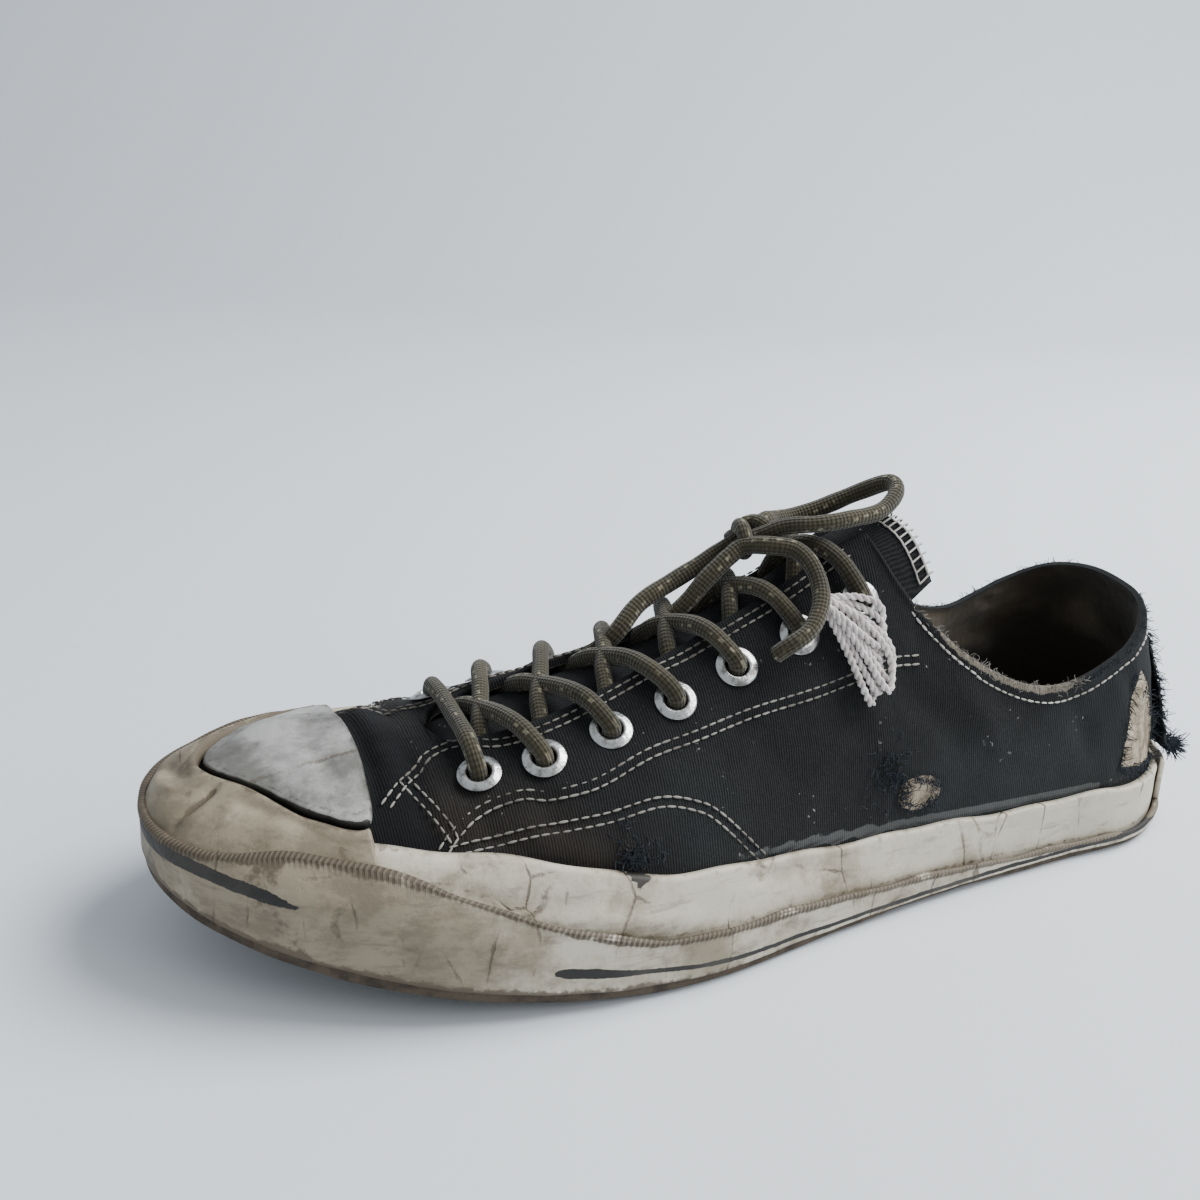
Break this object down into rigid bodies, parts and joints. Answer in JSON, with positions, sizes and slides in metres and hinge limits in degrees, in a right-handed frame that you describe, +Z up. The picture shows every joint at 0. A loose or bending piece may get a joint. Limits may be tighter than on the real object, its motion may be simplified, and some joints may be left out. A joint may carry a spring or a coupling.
{
  "type": "worn out canvas sneaker",
  "caption": "Worn low canvas lace-up sneaker for the left foot, with a rubber toe cap, foxed sole, metal eyelets, a cord lace tied in a bow and torn, faded cloth.",
  "frame": {"origin": "on the floor, under the middle of the bounding box of the shoe without its loose lace", "axes": "+X from heel to toe, +Y to the outer side of the left foot, +Z up"},
  "size_m": [0.3, 0.1084, 0.1067],
  "materials": {
    "outsole_rubber": "worn brown gum rubber",
    "midsole_foam": "yellowed foam",
    "foxing_rubber": "dirty cream rubber",
    "cap_rubber": "scuffed smooth rubber",
    "canvas": "faded black twill canvas",
    "tongue_canvas": "black canvas with overlocked edge",
    "insole_cloth": "flattened brown cloth",
    "eyelet_metal": "bright stamped",
    "lace_cord": "olive braided cord with pale flecks",
    "lace_core_yarn": "pale twisted yarn"
  },
  "bodies": {
    "root": {"outsole": "outsole_rubber", "midsole": "midsole_foam", "foxing": "foxing_rubber", "foxing_tape": "foxing_rubber", "heel_tab": "foxing_rubber", "toe_bumper": "foxing_rubber", "toe_cap": "cap_rubber", "upper": "canvas", "tongue": "tongue_canvas", "insole": "insole_cloth", "lace_bar": "lace_cord", "lace_knot": "lace_cord", "lace_bow": "lace_cord", "lace_end": "lace_cord", "lace_riser_inner": "lace_cord", "lace_riser_outer": "lace_cord", "lace_core": "lace_core_yarn", "eyelet_outer_1": "eyelet_metal", "eyelet_inner_1": "eyelet_metal", "eyelet_outer_2": "eyelet_metal", "eyelet_inner_2": "eyelet_metal", "eyelet_outer_3": "eyelet_metal", "eyelet_inner_3": "eyelet_metal", "eyelet_outer_4": "eyelet_metal", "eyelet_inner_4": "eyelet_metal", "eyelet_outer_5": "eyelet_metal", "eyelet_inner_5": "eyelet_metal", "eyelet_outer_6": "eyelet_metal", "eyelet_inner_6": "eyelet_metal", "eyelet_outer_7": "eyelet_metal", "eyelet_inner_7": "eyelet_metal", "lace_crossing_1": "lace_cord", "lace_crossing_2": "lace_cord", "lace_crossing_3": "lace_cord", "lace_crossing_4": "lace_cord", "lace_crossing_5": "lace_cord", "lace_crossing_6": "lace_cord"}
  },
  "joints": []
}
